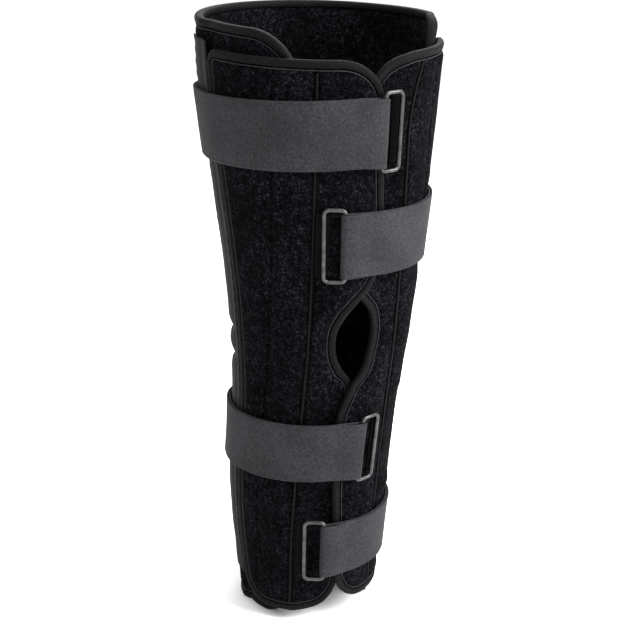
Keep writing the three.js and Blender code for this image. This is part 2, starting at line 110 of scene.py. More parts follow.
# Up the leg: heights as shares of HEIGHT, the rest as shares of TOP_RADIUS
SECTIONS = {
    "at": [0.0, 0.083, 0.165, 0.248, 0.331, 0.413, 0.496, 0.579, 0.661, 0.744, 0.826, 0.909, 1.0],
    "radius": [0.603, 0.634, 0.67, 0.697, 0.705, 0.723, 0.76, 0.798, 0.843, 0.891, 0.938, 0.978, 1.0],
    "lean": [-0.035, -0.047, -0.063, -0.061, -0.044, -0.024, -0.012, -0.009, -0.014, -0.023, -0.034,
             -0.044, -0.047],
}
# Heights from the knee in half opening heights, edges from the crossing in half opening widths
FLAP_EDGES = {
    "at": [-7.5, -5.0, -3.5, -1.9, -1.35, -1.0, -0.7, -0.35, 0.0, 0.35, 0.7, 1.0, 1.3, 1.6, 2.2, 4.0, 6.4],
    "left": [0.46, 0.46, 0.48, 0.52, 0.42, 0.16, -0.48, -0.94, -1.1, -1.03, -0.6, 0.0, 0.62, 1.0, 1.32,
             1.15, 0.95],
    "right": [0.15, -0.22, -0.5, -0.66, -0.3, 0.06, 0.56, 0.86, 1.08, 1.18, 0.96, 0.32, -0.28, -0.45,
              -0.45, -0.2, 0.3],
}
# How far round past the side panel's rear edge, and a strap's rise there
STRAP_SEAT = {
    "past": [-20, 0, 12, 24, 42, 58, 70],
    "rise": [1.5, 1.8, 1.3, 0.95, 0.9, -0.3, -0.5],
}
# Heights and drops are shares of HEIGHT, rings' places of TOP_RADIUS, and widths of STRAP_WIDTH
STRAP_TABLE = [
    {"at": 0.856, "ring": 0.229, "heading": -1, "drop": 0.0207, "width": 1.02},
    {"at": 0.683, "ring": -0.197, "heading": 1, "drop": 0.0062, "width": 0.99},
    {"at": 0.33, "ring": 0.218, "heading": -1, "drop": 0.0083, "width": 0.955},
    {"at": 0.148, "ring": -0.17, "heading": 1, "drop": 0.0, "width": 0.96},
]
STRAPS = [
    {
        "middle": row["at"] * HEIGHT, "ring": row["ring"] * TOP_RADIUS, "heading": row["heading"],
        "drop": row["drop"] * HEIGHT, "half": row["width"] * STRAP_WIDTH / 2,
    }
    for row in STRAP_TABLE
]


# The leg's form
def smooth(share):
    t = np.clip(share, 0, 1)
    return t * t * (3 - 2 * t)


def hill(at, middle, width):
    """1 at the middle, falling off softly on both sides."""
    return np.exp(-(((at - middle) / width) ** 2))


def hem(forms, at):
    """The rise of a hem whose forms are each (rise, place, half width)."""
    return sum(rise * hill(at, middle, half) for rise, middle, half in forms)


def puckers(at, rise, pitch, drift, drift_size):
    """Waves whose crests are not quite the pitch apart."""
    return rise * np.sin(2 * np.pi * at / pitch + drift * np.sin(at / drift_size))


def along(table, key, column, at):
    """Smooth curve through a table's rows, with the same slopes as the CAD's."""
    keys = np.array(table[key], float)
    values = np.array(table[column], float)
    last = len(keys) - 1
    up = np.minimum(np.arange(last + 1) + 1, last)
    down = np.maximum(np.arange(last + 1) - 1, 0)
    slopes = (values[up] - values[down]) / (keys[up] - keys[down])
    at = np.asarray(at, float)
    i = np.clip(np.searchsorted(keys, at, side="left") - 1, 0, last - 1)
    span = keys[i + 1] - keys[i]
    s = np.clip((at - keys[i]) / span, 0, 1)
    s2, s3 = s * s, s * s * s
    return (
        (2 * s3 - 3 * s2 + 1) * values[i]
        + (s3 - 2 * s2 + s) * slopes[i] * span
        + (3 * s2 - 2 * s3) * values[i + 1]
        + (s3 - s2) * slopes[i + 1] * span
    )


def radius(z):
    """The panels' outer radius at a height."""
    return along(SECTIONS, "at", "radius", np.asarray(z) / HEIGHT) * TOP_RADIUS


def lean(z):
    """How far to the right the leg's middle lies at a height."""
    return along(SECTIONS, "at", "lean", np.asarray(z) / HEIGHT) * TOP_RADIUS


def set_back(z):
    """How far back the bend at the knee sets the leg's middle at a height."""
    bend = math.tan(math.radians(BEND_DEGREES / 2))
    return bend * (np.hypot(np.asarray(z) - KNEE_HEIGHT, BEND_LENGTH) - BEND_LENGTH)


def bare_place(angle, z, rise):
    """Points as place() gives them, before the shift to the row frame."""
    r = radius(z) + rise
    x = lean(z) + r * np.sin(angle)
    y = set_back(z) - r * np.cos(angle)
    return np.stack(np.broadcast_arrays(x, y, z), -1).astype(float)


def ring_frame(strap):
    """Origin and directions (across, up, out) of a strap's ring, before the shift to the row frame."""
    angle = strap["ring"] / float(radius(strap["middle"]))
    half = strap["half"]
    above = bare_place(angle, strap["middle"] + half, RING_HEIGHT)
    below = bare_place(angle, strap["middle"] - half, RING_HEIGHT)
    up = (above - below) / np.linalg.norm(above - below)
    tilt = Matrix.Rotation(math.radians(-strap["heading"] * RING_TILT_DEGREES), 3, Vector(up))
    across = np.array(tilt @ Vector((math.cos(angle), math.sin(angle), 0)))
    return (above + below) / 2, across, up, np.cross(across, up)


def frame_shift():
    """How far the CAD moved the part to stand over its origin, read from where its first ring is."""
    low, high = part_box("ring_1")
    middle = (np.array(low) + np.array(high)) / 2 / MM
    shift = middle - ring_frame(STRAPS[0])[0]
    return np.array([shift[0], shift[1], 0.0])


SHIFT = frame_shift()


def place(angle, z, rise):
    """Points of the row frame, in millimetres, at an angle in radians round the leg from the front."""
    return bare_place(angle, z, rise) + SHIFT


def flap_edge(column, z):
    """Where a flap's front edge runs round the leg at a height."""
    at = (np.asarray(z) - KNEE_HEIGHT) / (OPENING_HEIGHT / 2)
    crossing = math.radians(CROSSING_ANGLE) * float(radius(KNEE_HEIGHT))
    return crossing + along(FLAP_EDGES, "at", column, at) * (OPENING_WIDTH / 2)


def left_on_top(z):
    """1 where the left flap lies over the right one, 0 where it lies under it."""
    return smooth((np.asarray(z) - KNEE_HEIGHT + OPENING_HEIGHT / 2) / OPENING_HEIGHT)


def under_straps(z):
    """1 clear of the straps, 0 under them."""
    free = 1.0
    for strap in STRAPS:
        beside = np.abs(z - strap["middle"] + strap["drop"] / 2) - STRAP_WIDTH / 2
        free = free * smooth((beside - strap["drop"] / 2 - STRAP_MARGIN) / STRAP_FADE)
    return free


def pocket(panel, share, z):
    """The raised channel that holds a stay."""
    ends = np.minimum(z - panel["bottom"], panel["top"] - z) - BINDING_WIDTH
    inside = (share > 0) & (share < 1)
    free = smooth(ends / POCKET_WIDTH) * under_straps(z)
    return np.where(inside, POCKET_RISE * np.sin(np.pi * share) * free, 0)


def left_rise(a, z):
    under = smooth((a + LEFT_SEAM) / RAMP) * (1 - left_on_top(z))
    return pocket(LEFT, (a + LEFT_SEAM + POCKET_WIDTH) / POCKET_WIDTH, z) - LAYER * under


def right_rise(a, z):
    under = smooth((RIGHT_SEAM - a) / RAMP) * left_on_top(z)
    return pocket(RIGHT, (a - RIGHT_SEAM) / POCKET_WIDTH, z) - LAYER * under


def crease(angle, z):
    """The folds behind the knee."""
    behind = smooth((np.abs(np.degrees(angle)) - STEP_START) / STEP_WIDTH)
    folds = sum(hill(z, height, FOLD_WIDTH) for height in FOLD_HEIGHTS)
    return -CREASE_DEPTH * behind * folds


def back_angle_rise(angle, z):
    """The back panel's rise: a layer below the side panels, and further out behind them."""
    turned = np.arctan2(np.sin(angle), np.cos(angle))
    degrees = np.degrees(turned)
    step = smooth((np.abs(degrees) - STEP_START) / STEP_WIDTH)
    right = smooth((degrees - FLARE_FROM) / FLARE_TURN) * smooth((FLARE_TO - degrees) / FLARE_TURN)
    flare = FLARE * right * smooth((z - RIGHT_TOP + 2) / (HEIGHT - RIGHT_TOP))
    return -LAYER + (LAYER - REAR_LAYER) * step + flare + crease(turned, z)


def back_rise(a, z):
    return back_angle_rise(a / radius(z), z)


def between(bottom, top, z):
    """A value that changes evenly up the brace."""
    return bottom + (top - bottom) * np.asarray(z) / HEIGHT


def back_west(z):
    return np.radians(between(BACK_RIGHT_BOTTOM_ANGLE, BACK_RIGHT_TOP_ANGLE, z)) * radius(z)


def back_east(z):
    return np.radians(360 - between(BACK_LEFT_BOTTOM_ANGLE, BACK_LEFT_TOP_ANGLE, z)) * radius(z)


# Finer forms that the CAD leaves out. A fade is the distance over which a form rises or ends. Puckers
# and ripples are the arguments of puckers(), and waves those of soft_waves().
ROLL_INSET = BINDING_WIDTH + 1.7
ROLL_HALF = 0.42
ROLL_RISE = -0.62
ROLL_SIDE = 0.4  # from corner to corner on its cloth
CORD_HALF = 1.0
CORD_RISE = -0.85
CORD_SIDE = 0.8
CORD_MARGIN = 2.0
TUBE_SIDES = 8
TUBE_ANGLES = [2 * math.pi * turn / TUBE_SIDES for turn in range(TUBE_SIDES)]
SEAM_LEAN = 0.0049  # times the square of the height above SEAM_LEAN_FROM
SEAM_LEAN_FROM = 408.0
PIPED_DEPTH = 2.0  # of the groove that a cord lies in
PIPED_HALF = 1.6
PIPED_FADE = 1.7
PLAIN_DEPTH = 1.9
PLAIN_HALF = 1.1
PUCKERS = (0.22, 6.5, 3, 19)
PUCKER_OFF = 4.0  # from the seam
PUCKER_HALF = 3.0
PADDING_RISE = 0.9
PADDING_FADE = 11.0
SEAM_MARGIN = 1.0  # between the binding and a seam's groove
SEAM_FADE = 4.0
EDGE_FALL = 1.3  # of the padding beside its binding
EDGE_FADE = 6.0
INNER_FALL = 0.8
INNER_FADE = 5.0
PANEL_WAVES = (0.45, 38.0)
PANEL_WAVE_FADE = 12.0
PANEL_WAVE_INSIDE = 0.3  # share of the waves inside
BINDING_LAP = 0.4  # of a panel's cloth under its binding
RIPPLES = (0.1, 4.6, 2, 23)
BINDING_WAVES = (0.16, 16.0)
COLUMN_CROWDING = 0.86  # how far a grid's columns crowd at seams and edges

# The three panels. A corner is (how far round, how high). A seam is its place and whether it is piped.
LEFT = {
    "bottom": LEFT_BOTTOM, "top": LEFT_TOP, "rise": left_rise,
    "west": lambda z: -math.radians(SIDE_REAR_ANGLE) * radius(z), "east": lambda z: flap_edge("left", z),
    "westBottom": (28, 30), "eastBottom": (30, 32), "westTop": (12, 12), "eastTop": (34, 30),
    "foam": SIDE_FOAM,
    "seams": [(-LEFT_SEAM - POCKET_WIDTH, False), (-LEFT_SEAM, True)], "seam_lean": 0.0,
}
RIGHT = {
    "bottom": RIGHT_BOTTOM, "top": RIGHT_TOP, "rise": right_rise,
    "west": lambda z: flap_edge("right", z), "east": lambda z: math.radians(SIDE_REAR_ANGLE) * radius(z),
    "westBottom": (26, 28), "eastBottom": (20, 24), "westTop": (42, 38), "eastTop": (12, 12),
    "foam": SIDE_FOAM,
    "seams": [(RIGHT_SEAM, True), (RIGHT_SEAM + POCKET_WIDTH, False)], "seam_lean": SEAM_LEAN,
}
BACK = {
    "bottom": 0.0, "top": HEIGHT, "rise": back_rise,
    "west": back_west, "east": back_east,
    "westBottom": (14, 15), "eastBottom": (27, 26), "westTop": (42, 42), "eastTop": (44, 42),
    "foam": BACK_FOAM,
    "seams": [],
}
NOISE_OCTAVES = (1.0, 2.0, 3)  # falling strength, finer step and count
ROW_STEP = 3.0
COLUMN_STEP = 2.6
SPARE_COLUMNS = 8
LEAST_STRIP = 0.1  # of a panel's width, between two seams
LEAST_END = 0.12  # between the last seam and the edge
TURNS = np.radians(np.arange(0, 90.1, 7.5))


def side_of(panel, side, inset):
    """One end of each row of a panel, from the bottom up, drawn in from the panel's edge."""
    bottom_wide, bottom_high = panel[side + "Bottom"]
    top_wide, top_high = panel[side + "Top"]
    inwards = 1 if side == "west" else -1
    lowest = panel["bottom"] + max(panel["westBottom"][1], panel["eastBottom"][1])
    highest = panel["top"] - max(panel["westTop"][1], panel["eastTop"][1])
    straight = np.linspace(lowest, highest, int((highest - lowest) / ROW_STEP))[1:-1]
    turns = TURNS[::-1]
    z = np.concatenate([
        panel["bottom"] + bottom_high - (bottom_high - inset) * np.sin(turns),
        straight,
        panel["top"] - top_high + (top_high - inset) * np.sin(TURNS),
    ])
    pull = np.concatenate([
        (bottom_wide - inset) * (1 - np.cos(turns)),
        np.zeros(len(straight)),
        (top_wide - inset) * (1 - np.cos(TURNS)),
    ])
    slope = (panel[side](z + 1) - panel[side](z - 1)) / 2
    return panel[side](z) + inwards * (inset * np.hypot(1, slope) + pull), z


def seam_place(panel, place_of_seam, z):
    """Where a seam runs round the leg at a height: the right panel's seams lean outwards near the top."""
    return place_of_seam + panel["seam_lean"] * np.maximum(z - SEAM_LEAN_FROM, 0) ** 2


def grid_of(panel, inset):
    """Places (round the leg, height) of a panel's fine grid, closer together at its seams and edges."""
    west, west_z = side_of(panel, "west", inset)
    east, east_z = side_of(panel, "east", inset)
    knots = [west]
    width = east - west
    for place_of_seam, _ in panel["seams"]:
        level = west_z + (east_z - west_z) * np.clip((place_of_seam - west) / width, 0, 1)
        here = seam_place(panel, place_of_seam, level)
        knots.append(np.clip(here, knots[-1] + LEAST_STRIP * width, east - LEAST_END * width))
    knots.append(east)
    parts = [west[:, None]]
    spans = list(zip(knots[:-1], knots[1:]))
    if inset == 0:
        # The whole panel's grid sets how many columns the others have
        panel["counts"] = [int(np.max(end - start) / COLUMN_STEP) + SPARE_COLUMNS for start, end in spans]
    for (start, end), count in zip(spans, panel["counts"]):
        t = np.arange(1, count + 1) / count
        share = t - COLUMN_CROWDING * np.sin(2 * np.pi * t) / (2 * np.pi)
        parts.append(start[:, None] + (end - start)[:, None] * share)
    a = np.concatenate(parts, 1)
    share = (a - a[:, :1]) / (a[:, -1:] - a[:, :1])
    return a, west_z[:, None] + (east_z - west_z)[:, None] * share


def rim_of(grid):
    """A grid's rim as one loop."""
    return np.concatenate([grid[0], grid[1:-1, -1], grid[-1][::-1], grid[1:-1, 0][::-1]])


def panel_rim(panel, inset):
    """Places round the leg and heights along a panel's edge, drawn in by the inset."""
    return [rim_of(values) for values in grid_of(panel, inset)]


def run_length(points):
    """How far along a line each of its points is."""
    return np.concatenate([[0], np.cumsum(np.linalg.norm(np.diff(points, axis=0), axis=1))])


def outwards(angle):
    return np.stack([np.sin(angle), -np.cos(angle), np.zeros_like(angle)], -1)


def on_panel(panel, a, z, rise):
    return place(a / radius(z), z, panel["rise"](a, z) + rise)


def edge_distance(panel, a, z):
    """How far each point of a panel lies in from the panel's edge."""
    rim_a, rim_z = panel_rim(panel, 0)
    steps = np.arange(5) / 5
    fine_a = (rim_a[:, None] + (np.roll(rim_a, -1) - rim_a)[:, None] * steps).ravel()
    fine_z = (rim_z[:, None] + (np.roll(rim_z, -1) - rim_z)[:, None] * steps).ravel()
    tree = kdtree.KDTree(len(fine_a))
    for k, point in enumerate(zip(fine_a, fine_z)):
        tree.insert((point[0], point[1], 0), k)
    tree.balance()
    found = [tree.find((x, y, 0))[2] for x, y in zip(a.ravel(), z.ravel())]
    return np.array(found).reshape(a.shape)


def soft_waves(points, rise, size):
    """Soft, uneven waves at points in millimetres."""
    values = [noise.fractal(Vector(p), *NOISE_OCTAVES) for p in points.reshape(-1, 3) / size]
    return rise * np.array(values).reshape(points.shape[:-1])


# Meshes
def grid_faces(rows, columns, first=0, flipped=False):
    corner = first + np.arange(rows)[:, None] * columns + np.arange(columns)
    quads = np.stack([corner[:-1, :-1], corner[:-1, 1:], corner[1:, 1:], corner[1:, :-1]], -1)
    return quads.reshape(-1, 4)[:, ::-1 if flipped else 1]


def shell_faces(rows, columns):
    """Faces of a closed wall between an outer grid and an inner grid of the same size."""
    count = rows * columns
    outer = np.arange(count).reshape(rows, columns)
    loop = rim_of(outer)
    after = np.roll(loop, -1)
    sides = np.stack([loop, loop + count, after + count, after], -1)
    return np.concatenate([grid_faces(rows, columns), grid_faces(rows, columns, count, True), sides])


def loop_faces(stations, sides, closed):
    """Faces of a bar through stations that each have the same number of corners."""
    k = np.arange(stations if closed else stations - 1)
    m = np.arange(sides)
    here = (k[:, None] * sides + m).ravel()
    beside = (k[:, None] * sides + (m + 1) % sides).ravel()
    ahead = (((k + 1) % stations)[:, None] * sides + m).ravel()
    both = (((k + 1) % stations)[:, None] * sides + (m + 1) % sides).ravel()
    return np.stack([here, beside, both, ahead], -1)


def end_caps(first, stations, sides):
    """The two ends of a bar whose corners start at first."""
    last = first + (stations - 1) * sides
    return [range(first + sides - 1, first - 1, -1), range(last, last + sides)]


def turned_out(corners, faces):
    """Faces in the order that makes the closed mesh's volume positive."""
    p = corners[faces]
    volume = np.einsum("ij,ij->i", p[:, 0], np.cross(p[:, 1], p[:, 2])).sum()
    volume += np.einsum("ij,ij->i", p[:, 0], np.cross(p[:, 2], p[:, -1])).sum()
    return faces if volume > 0 else faces[:, ::-1]


def make_piece(name, corners, faces, material, nodes=(), flat=None, caps=()):
    """A piece of the object from corners in millimetres.

    flat gives each corner's place on the cloth. The caps turn round where the faces have to.
    """
    corners = corners.reshape(-1, 3)
    ordered = turned_out(corners, faces)
    step = 1 if (ordered[0] == faces[0]).all() else -1
    polygons = ordered.tolist() + [list(cap)[::step] for cap in caps]
    mesh = bpy.data.meshes.new(name)
    mesh.from_pydata((corners * MM).tolist(), [], polygons)
    mesh.update()
    if flat is not None:
        layer = mesh.uv_layers.new(name="cloth")
        indices = np.empty(len(mesh.loops), int)
        mesh.loops.foreach_get("vertex_index", indices)
        layer.data.foreach_set("uv", (flat.reshape(-1, 2)[indices] * MM).ravel())
    mesh.shade_smooth()
    obj = bpy.data.objects.new(name, mesh)
    bpy.context.scene.collection.objects.link(obj)
    mesh.materials.append(material)
    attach(obj, "root")
    if nodes:
        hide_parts(*nodes)
    return obj


def make_shell(name, outer, inner, flat, material, node):
    """A cloth between an outer and an inner grid of corners."""
    faces = shell_faces(*outer.shape[:2])
    corners = np.stack([outer, inner])
    return make_piece(name, corners, faces, material, [node], flat=np.stack([flat, flat]))


# Materials
def new_material(name, roughness, metallic=0.0, specular=0.5):
    material = bpy.data.materials.new(name)
    material.use_nodes = True
    shader = material.node_tree.nodes["Principled BSDF"]
    shader.inputs["Roughness"].default_value = roughness
    shader.inputs["Metallic"].default_value = metallic
    shader.inputs["Specular IOR Level"].default_value = specular
    return material, material.node_tree, shader


def wave_node(tree, vector, direction, rib_mm, distortion, detail):
    """Ribs that are rib_mm apart across the cloth."""
    node = tree.nodes.new("ShaderNodeTexWave")
    node.bands_direction = direction
    node.inputs["Scale"].default_value = math.pi / 10 / (rib_mm * MM)
    node.inputs["Distortion"].default_value = distortion
    node.inputs["Detail"].default_value = detail
    tree.links.new(vector, node.inputs["Vector"])
    return node.outputs["Color"]


def noise_node(tree, vector, size_mm, detail=3.0, roughness=0.55):
    node = tree.nodes.new("ShaderNodeTexNoise")
    node.inputs["Scale"].default_value = 1 / (size_mm * MM)
    node.inputs["Detail"].default_value = detail
    node.inputs["Roughness"].default_value = roughness
    tree.links.new(vector, node.inputs["Vector"])
    return node.outputs["Fac"]


def ramp_node(tree, value, stops):
    """A colour ramp with stops of (position, colour)."""
    node = tree.nodes.new("ShaderNodeValToRGB")
    while len(node.color_ramp.elements) < len(stops):
        node.color_ramp.elements.new(0.5)
    for element, (position, colour) in zip(node.color_ramp.elements, stops):
        element.position = position
        element.color = (*colour, 1)
    tree.links.new(value, node.inputs["Fac"])
    return node.outputs["Color"]


def mix_node(tree, share, first, second, blend="MIX"):
    node = tree.nodes.new("ShaderNodeMix")
    node.data_type = "RGBA"
    node.blend_type = blend
    factor = [socket for socket in node.inputs if socket.name == "Factor" and socket.type == "VALUE"][0]
    ends = [socket for socket in node.inputs if socket.type == "RGBA"]
    for value, socket in zip((share, first, second), [factor, *ends]):
        if hasattr(value, "links"):
            tree.links.new(value, socket)
        elif isinstance(value, tuple):
            socket.default_value = (*value, 1)
        else:
            socket.default_value = value
    return [s for s in node.outputs if s.type == "RGBA"][0]


def bump_node(tree, height, strength, depth_mm, before=None):
    node = tree.nodes.new("ShaderNodeBump")
    node.inputs["Strength"].default_value = strength
    node.inputs["Distance"].default_value = depth_mm * MM
    tree.links.new(height, node.inputs["Height"])
    if before is not None:
        tree.links.new(before, node.inputs["Normal"])
    return node.outputs["Normal"]


def object_vector(tree):
    return tree.nodes.new("ShaderNodeTexCoord").outputs["Object"]


def cloth_vector(tree):
    node = tree.nodes.new("ShaderNodeUVMap")
    node.uv_map = "cloth"
    return node.outputs["UV"]


def grey(tone):
    return (tone, tone, tone)


def pile_cloth(name, dark, light, fleck):
    """Brushed loop cloth: mottled pile with paler fibre tips in clumps."""
    material, tree, shader = new_material(name, 0.95, specular=0.02)
    vector = object_vector(tree)
    mottle = noise_node(tree, vector, 5.0, 5.0, 0.72)
    fibre = noise_node(tree, vector, 1.9, 4.0, 0.85)
    broad = noise_node(tree, vector, 42.0, 3.0)
    ground = ramp_node(tree, mottle, [(0.36, dark), (0.64, light)])
    tips = ramp_node(tree, fibre, [(0.5, grey(0)), (0.66, grey(1))])
    clumps = ramp_node(tree, mottle, [(0.4, grey(0.15)), (0.62, grey(1))])
    share = mix_node(tree, 1.0, tips, clumps, "MULTIPLY")
    colour = mix_node(tree, share, ground, fleck)
    worn = ramp_node(tree, broad, [(0.35, grey(0.6)), (0.65, grey(1.4))])
    colour = mix_node(tree, 1.0, colour, worn, "MULTIPLY")
    tree.links.new(colour, shader.inputs["Base Color"])
    rough = ramp_node(tree, mottle, [(0.3, grey(0.88)), (0.7, grey(1.0))])
    tree.links.new(rough, shader.inputs["Roughness"])
    normal = bump_node(tree, fibre, 0.7, 0.7)
    normal = bump_node(tree, mottle, 0.6, 1.1, normal)
    tree.links.new(normal, shader.inputs["Normal"])
    return material


def woven_cloth(name, dark, light, rib_mm, rib_along, rib_depth=0.16, roughness=0.8, specular=0.15):
    """Tape or webbing with fine ribs, cross threads and a little fuzz. rib_along is X or Y of the cloth."""
    material, tree, shader = new_material(name, roughness, specular=specular)
    vector = cloth_vector(tree)
    rib = wave_node(tree, vector, rib_along, rib_mm, 0.6, 1.0)
    cross = wave_node(tree, vector, "Y" if rib_along == "X" else "X", rib_mm * 0.8, 0.8, 2.0)
    body = object_vector(tree)
    fuzz = noise_node(tree, body, 1.5, 4.0, 0.85)
    mottle = noise_node(tree, body, 2.6, 5.0, 0.8)
    broad = noise_node(tree, body, 30.0, 2.0)
    weave = mix_node(tree, 0.5, rib, cross, "MULTIPLY")
    ground = mix_node(tree, ramp_node(tree, mottle, [(0.3, grey(0)), (0.7, grey(1))]), dark, light)
    threads = ramp_node(tree, weave, [(0.1, grey(0.82)), (0.9, grey(1.12))])
    colour = mix_node(tree, 1.0, ground, threads, "MULTIPLY")
    flecks = ramp_node(tree, fuzz, [(0.4, grey(0.6)), (0.62, grey(1.6))])
    colour = mix_node(tree, 1.0, colour, flecks, "MULTIPLY")
    worn = ramp_node(tree, broad, [(0.35, grey(0.84)), (0.65, grey(1.16))])
    colour = mix_node(tree, 1.0, colour, worn, "MULTIPLY")
    tree.links.new(colour, shader.inputs["Base Color"])
    normal = bump_node(tree, weave, 0.5, rib_depth)
    normal = bump_node(tree, fuzz, 0.35, 0.3, normal)
    tree.links.new(normal, shader.inputs["Normal"])
    return material


def satin_wire(name):
    """Grey plated wire with faint drawing marks and rubbed places."""
    material, tree, shader = new_material(name, 0.3, metallic=1.0)
    vector = object_vector(tree)
    rub = noise_node(tree, vector, 6.0, 4.0)
    fine = noise_node(tree, vector, 0.7, 3.0, 0.7)
    colour = ramp_node(tree, rub, [(0.35, (0.045, 0.045, 0.0465)), (0.65, (0.085, 0.085, 0.0875))])
    tree.links.new(colour, shader.inputs["Base Color"])
    rough = ramp_node(tree, fine, [(0.3, grey(0.3)), (0.7, grey(0.46))])
    tree.links.new(rough, shader.inputs["Roughness"])
    tree.links.new(bump_node(tree, fine, 0.2, 0.06), shader.inputs["Normal"])
    return material


def thread_material(name, tone):
    """Twisted sewing thread."""
    material, tree, shader = new_material(name, 0.7, specular=0.1)
    vector = object_vector(tree)
    twist = noise_node(tree, vector, 0.4, 2.0)
    colour = ramp_node(tree, twist, [(0.3, grey(tone * 0.6)), (0.7, grey(tone * 1.4))])
    tree.links.new(colour, shader.inputs["Base Color"])
    tree.links.new(bump_node(tree, twist, 0.5, 0.1), shader.inputs["Normal"])
    return material


PILE = pile_cloth(
    "brushed_loop_cloth", (0.0004, 0.0004, 0.0006), (0.0022, 0.0022, 0.0029), (0.0245, 0.025, 0.0305)
)
BINDING = woven_cloth(
    "binding_tape", (0.0024, 0.0024, 0.003), (0.0054, 0.0054, 0.0062), 0.7, "X", 0.1, 0.6, 0.06
)
# The edge roll is a lighter copy of the binding tape's cloth: a painted highlight along the roll's crest.
ROLL_WITH_PAINTED_HIGHLIGHT = woven_cloth("edge_roll", (0.012, 0.012, 0.0138), (0.022, 0.022, 0.025), 0.7, "X", 0.1, 0.6)
TAPE = woven_cloth("rear_tape", (0.0065, 0.0065, 0.0072), (0.013, 0.013, 0.0145), 0.9, "Y")
WEBBING = woven_cloth(
    "stretch_webbing", (0.0155, 0.0155, 0.0175), (0.0255, 0.0255, 0.0286), 0.9, "Y", 0.12
)
TAB_CLOTH = woven_cloth(
    "tab_webbing", (0.0008, 0.0008, 0.001), (0.0024, 0.0024, 0.0028), 0.9, "Y", 0.16, 0.85, 0.05
)
CORD_CLOTH = woven_cloth(
    "seam_cord", (0.0012, 0.0012, 0.0015), (0.0034, 0.0034, 0.004), 0.7, "X", 0.1, 0.6, 0.08
)
WIRE = satin_wire("satin_wire")
THREAD = thread_material("black_thread", 0.003)
GREY_THREAD = thread_material("grey_thread", 0.014)

# Stitches, each a small spindle on the surface. Its rings are (share of its length, of its thickness).
STITCH_LENGTH = 2.1
STITCH_PITCH = 3.0
STITCH_HALF = 0.26
STITCH_SUNK = 0.45
STITCH_SIDES = 5
STITCHES_BESIDE = CORD_HALF + 0.5  # from the middle of a cord
SEAM_STITCH_RISE = -1.75
SEAM_STITCH_MARGIN = 3.5
BINDING_STITCH_PLACE = 0.8  # share of the binding's width
BINDING_STITCH_RISE = 0.12
STITCH_RINGS = [(0, 0.15), (0.2, 0.85), (0.8, 0.85), (1, 0.15)]


def stitch_row(points, normals):
    """The corners of each spindle along a line of points, evenly spaced."""
    length = run_length(points)
    starts = np.arange(STITCH_PITCH / 2, length[-1] - STITCH_PITCH, STITCH_PITCH)

    def at(values, where):
        return np.stack([np.interp(where, length, values[:, k]) for k in range(3)], -1)

    a, b = at(points, starts), at(points, starts + STITCH_LENGTH)
    out = at(normals, starts + STITCH_LENGTH / 2)
    out /= np.linalg.norm(out, axis=1)[:, None]
    ahead = (b - a) / np.linalg.norm(b - a, axis=1)[:, None]
    side = np.cross(ahead, out)
    corners = []
    for share, size in STITCH_RINGS:
        middle = a + (b - a) * share + out * STITCH_HALF * (size - STITCH_SUNK)
        for turn in range(STITCH_SIDES):
            angle = 2 * math.pi * turn / STITCH_SIDES
            corners.append(middle + STITCH_HALF * size * (side * math.cos(angle) + out * math.sin(angle)))
    return np.stack(corners, 1)


def make_stitches(name, rows, material):
    """All of a piece's stitches as one mesh."""
    spindles = np.concatenate([stitch_row(points, normals) for points, normals in rows])
    size = len(STITCH_RINGS) * STITCH_SIDES
    one = loop_faces(len(STITCH_RINGS), STITCH_SIDES, False)
    faces = (np.arange(len(spindles))[:, None, None] * size + one).reshape(-1, 4)
    caps = []
    for first in range(0, len(spindles) * size, size):
        caps += end_caps(first, len(STITCH_RINGS), STITCH_SIDES)
    make_piece(name, spindles, faces, material, caps=caps)


def line_on_panel(panel, a, z, rise):
    """A line on a panel and the way the panel looks there."""
    return on_panel(panel, a, z, rise), outwards(a / radius(z))


# Panels
def seam_relief(panel, a, z, distance):
    """Sewn lines down a panel, wide grooves for cords and narrow plain ones, and padding between them."""
    relief = np.zeros_like(a)
    nearest = np.full_like(a, PADDING_FADE)
    for place_of_seam, piped in panel["seams"]:
        off = np.abs(a - seam_place(panel, place_of_seam, z))
        nearest = np.minimum(nearest, off)
        if piped:
            relief -= PIPED_DEPTH * (1 - smooth((off - PIPED_HALF) / PIPED_FADE))
        else:
            relief -= PLAIN_DEPTH * hill(off, 0, PLAIN_HALF)
        relief += puckers(z, *PUCKERS) * hill(off, PUCKER_OFF, PUCKER_HALF)
    if panel["seams"]:
        relief += PADDING_RISE * smooth(nearest / PADDING_FADE) * under_straps(z)
    return relief * smooth((distance - BINDING_WIDTH - SEAM_MARGIN) / SEAM_FADE)


def edge_relief(distance):
    """The padding's fall to its binding."""
    return -EDGE_FALL * (1 - smooth((distance - BINDING_WIDTH) / EDGE_FADE))


def seam_line(panel, a, margin):
    """Heights at which a seam at that place round the leg runs inside the panel's binding."""
    z = np.arange(panel["bottom"] + BINDING_WIDTH + margin, panel["top"] - BINDING_WIDTH - margin, 2.0)
    places = seam_place(panel, a, z)
    past_west = places > panel["west"](z) + BINDING_WIDTH + margin
    inside = past_west & (places < panel["east"](z) - BINDING_WIDTH - margin)
    return z[inside & (edge_distance(panel, places, z) > BINDING_WIDTH + margin)]


def make_seam_cord(name, panel):
    """The cord in a panel's piped seam."""
    for place_of_seam, piped in panel["seams"]:
        if not piped:
            continue
        z = seam_line(panel, place_of_seam, CORD_MARGIN)
        sections = []
        for angle in TUBE_ANGLES:
            a = seam_place(panel, place_of_seam, z) + CORD_HALF * math.cos(angle)
            sections.append(on_panel(panel, a, z, CORD_RISE + CORD_HALF * math.sin(angle)))
        corners = np.stack(sections, 1)
        flat = np.stack(np.broadcast_arrays(z[:, None], np.arange(TUBE_SIDES) * CORD_SIDE), -1)
        make_piece(
            name + "_cord", corners, loop_faces(len(z), TUBE_SIDES, False), CORD_CLOTH,
            flat=flat, caps=end_caps(0, len(z), TUBE_SIDES),
        )


